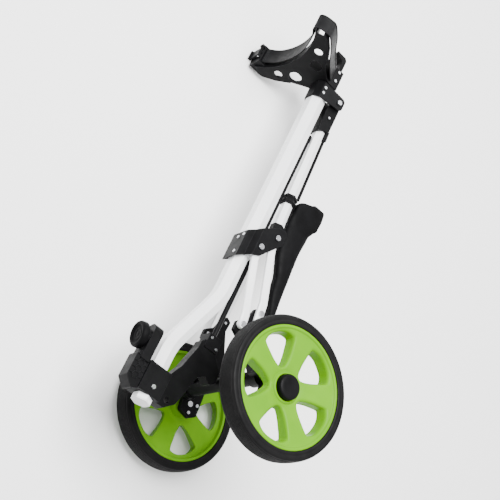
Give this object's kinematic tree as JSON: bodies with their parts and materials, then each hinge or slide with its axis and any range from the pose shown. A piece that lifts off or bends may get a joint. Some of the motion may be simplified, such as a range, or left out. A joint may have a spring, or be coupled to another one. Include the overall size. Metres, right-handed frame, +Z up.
{
  "type": "folding golf pull cart",
  "caption": "Folded golf pull cart: hexagonal tube frame, bag cradle with ratchet strap, folding handle, parallel-strut legs, spoked wheels and a foot pad.",
  "frame": {"origin": "centre of the bounding box on the floor, with the folded cart lying on its right side as it is stored", "axes": "+Y runs up the main tube from the foot to the bag cradle, +X from the bag side to the handle and wheel side, +Z up, from the right wheel to the left one"},
  "size_m": [0.3925, 1.0442, 0.4146],
  "materials": {
    "white_aluminium": "satin",
    "black_steel": "satin",
    "black_plastic": "matte",
    "black_rubber": "matte",
    "strap_plastic": "matte",
    "silver_steel": "brushed",
    "green_plastic": "satin",
    "grey_plastic": "matte",
    "tyre_rubber": "matte"
  },
  "bodies": {
    "frame": {"bag_cradle": "black_plastic", "bracket_pivot_bolts": "silver_steel", "cradle_rivets": "silver_steel", "cradle_strap": "strap_plastic", "foot_bracket": "black_plastic", "foot_pad": "black_rubber", "foot_screws": "silver_steel", "guide_screws": "silver_steel", "handle_hinge_bolt": "silver_steel", "lower_tube": "white_aluminium", "lower_tube_plug": "grey_plastic", "main_tube": "white_aluminium", "main_tube_plug": "black_plastic", "mid_bracket": "black_steel", "mid_bracket_rivets": "silver_steel", "ratchet_base": "black_plastic", "ratchet_pin": "silver_steel", "strap_tab": "black_plastic", "top_bracket": "black_steel", "top_bracket_rivets": "silver_steel"},
    "handle": {"handle_tube": "white_aluminium", "handle_sleeve": "black_plastic", "handle_screws": "silver_steel", "handle_collar": "black_plastic", "handle_tube_cap": "black_plastic", "handle_grip": "black_rubber", "grip_stay": "black_steel"},
    "push_rod": {"lock_rod": "black_steel", "lock_rod_end": "black_plastic", "lock_rod_cap": "black_plastic"},
    "front_struts": {"front_strut_left": "white_aluminium", "front_strut_right": "white_aluminium"},
    "rear_struts": {"rear_strut_left": "white_aluminium", "rear_strut_right": "white_aluminium"},
    "axle_carrier": {"carrier_left": "black_plastic", "carrier_right": "black_plastic", "axle_beam": "black_steel", "stub_axle_left": "silver_steel", "stub_axle_right": "silver_steel", "carrier_pivot_bolts": "silver_steel", "knuckle_bolts": "silver_steel"},
    "left_wheel": {"wheel_rim_left": "green_plastic", "tyre_left": "tyre_rubber", "hub_cap_left": "black_plastic"},
    "right_wheel": {"wheel_rim_right": "green_plastic", "tyre_right": "tyre_rubber", "hub_cap_right": "black_plastic"},
    "strap_lever": {"ratchet_lever": "black_plastic"}
  },
  "joints": [
    {"name": "handle_fold", "type": "hinge", "parent": "frame", "child": "handle", "pos_m": [-0.00423, 0.38567, 0.1329], "axis": [0, 0.0979, 0.9952], "range_deg": [0, 160]},
    {"name": "push_rod_slide", "type": "slide", "parent": "frame", "child": "push_rod", "axis": [0, -0.9952, 0.0979], "range_m": [0, 0.02]},
    {"name": "front_leg_fold", "type": "hinge", "parent": "frame", "child": "front_struts", "pos_m": [-0.03323, -0.07112, 0.17786], "axis": [0, 0.0979, 0.9952], "range_deg": [0, 70]},
    {"name": "rear_leg_fold", "type": "hinge", "parent": "frame", "child": "rear_struts", "pos_m": [-0.00623, -0.02734, 0.17355], "axis": [0, 0.0979, 0.9952], "range_deg": [0, 70]},
    {"name": "carrier_tilt", "type": "hinge", "parent": "front_struts", "child": "axle_carrier", "pos_m": [-0.01223, -0.25722, 0.19617], "axis": [0, 0.0979, 0.9952], "range_deg": [-70, 0]},
    {"name": "left_wheel_spin", "type": "hinge", "parent": "axle_carrier", "child": "left_wheel", "pos_m": [0.06127, -0.35328, 0.38006], "axis": [0, 0.0979, 0.9952], "continuous": true},
    {"name": "right_wheel_spin", "type": "hinge", "parent": "axle_carrier", "child": "right_wheel", "pos_m": [0.06127, -0.38728, 0.03453], "axis": [0, 0.0979, 0.9952], "continuous": true},
    {"name": "strap_lever_flip", "type": "hinge", "parent": "frame", "child": "strap_lever", "pos_m": [-0.19023, 0.4305, 0.03705], "axis": [0, 0.9952, -0.0979], "range_deg": [0, 70]}
  ],
  "couplings": [
    {"joint": "push_rod_slide", "follows": "handle_fold", "m_per_rad": 0.00716},
    {"joint": "front_leg_fold", "follows": "handle_fold", "ratio": 0.4375},
    {"joint": "rear_leg_fold", "follows": "handle_fold", "ratio": 0.4375},
    {"joint": "carrier_tilt", "follows": "handle_fold", "ratio": -0.4375}
  ]
}
